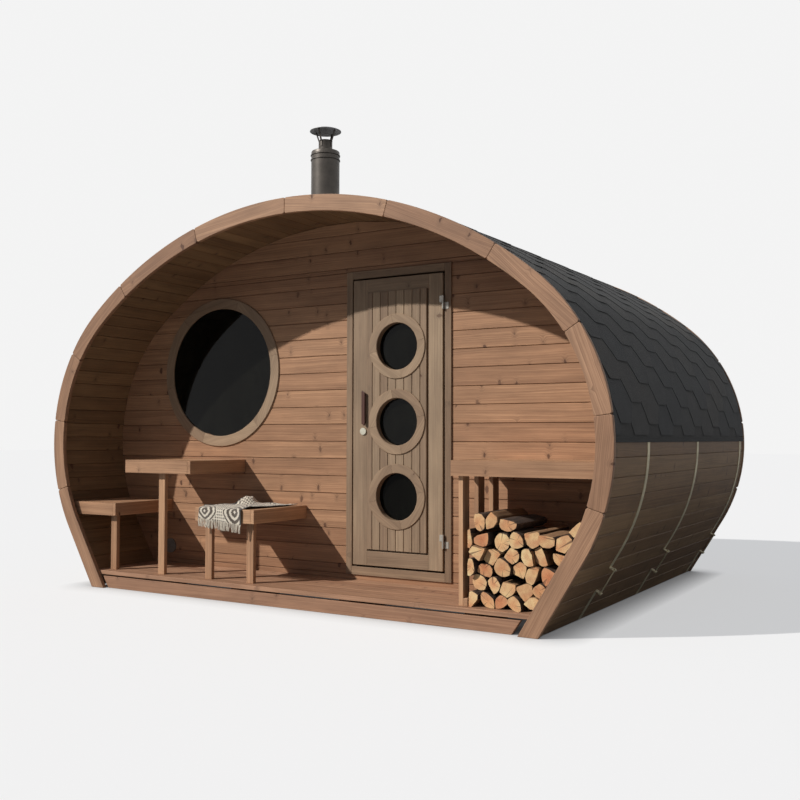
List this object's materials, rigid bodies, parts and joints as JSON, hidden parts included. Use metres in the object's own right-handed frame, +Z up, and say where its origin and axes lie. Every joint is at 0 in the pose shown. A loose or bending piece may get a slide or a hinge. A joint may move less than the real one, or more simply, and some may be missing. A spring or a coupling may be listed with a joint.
{
  "type": "outdoor sauna",
  "caption": "Oval timber outdoor sauna cabin with a shingled roof, an open porch with table and benches, a wood store, a round window and a hinged door with portholes.",
  "frame": {"origin": "on the ground, in the middle of the plan", "axes": "+X to the right across the front, +Y from the porch to the back, +Z up"},
  "size_m": [4, 2.903, 3.178],
  "materials": {
    "thermowood": "oiled, heat-treated boards",
    "ring_wood": "planed, heat-treated boards",
    "frame_wood": "planed, heat-treated boards",
    "door_wood": "planed, heat-treated boards",
    "handle_wood": "turned and oiled",
    "split_logs": "freshly split, with bark",
    "bitumen": "matt, with mineral grit",
    "dark_metal": "satin, heat-proof",
    "band_steel": "dull galvanised strip",
    "hinge_steel": "brushed",
    "lock_metal": "brushed",
    "window_glass": "tinted, polished",
    "porthole_glass": "tinted, polished",
    "throw_cloth": "woven cotton with a fringe"
  },
  "bodies": {
    "cabin": {"shell_crown_left": "thermowood", "shell_crown_right": "thermowood", "shell_haunches": "thermowood", "shell_shoulders": "thermowood", "shell_upper_sides": "thermowood", "shell_lower_sides": "thermowood", "shell_feet": "thermowood", "front_wall_left": "thermowood", "front_wall_right": "thermowood", "front_wall_over_door": "thermowood", "front_wall_under_door": "thermowood", "rear_wall": "thermowood", "porch_deck": "thermowood", "cabin_floor": "thermowood", "floor_joists": "thermowood", "front_skirt": "thermowood", "rear_skirt": "thermowood", "table_top": "thermowood", "left_bench_seat": "thermowood", "right_bench_seat": "thermowood", "porch_legs": "thermowood", "store_shelf": "thermowood", "store_side": "thermowood", "front_ring": "ring_wood", "rear_ring": "ring_wood", "door_jambs": "frame_wood", "door_head": "frame_wood", "door_threshold": "frame_wood", "window_frame": "frame_wood", "window_glass": "window_glass", "roof_cover": "bitumen", "roof_edges": "bitumen", "chimney_pipe": "dark_metal", "chimney_cap": "dark_metal", "cap_struts": "dark_metal", "roof_collar": "dark_metal", "vent_cover": "dark_metal", "bands": "band_steel", "band_rods": "band_steel", "hinge_pins": "hinge_steel", "firewood": "split_logs", "throw": "throw_cloth"},
    "door": {"door_stiles": "door_wood", "door_rails": "door_wood", "door_panel": "door_wood", "porthole_rings": "door_wood", "door_handle": "handle_wood", "porthole_glass": "porthole_glass", "hinge_sockets": "hinge_steel", "door_lock": "lock_metal"}
  },
  "joints": [
    {"name": "door_hinge", "type": "hinge", "parent": "cabin", "child": "door", "pos_m": [0.763, -0.8945, 1.1], "axis": [0, 0, 1], "range_deg": [0, 100]}
  ]
}
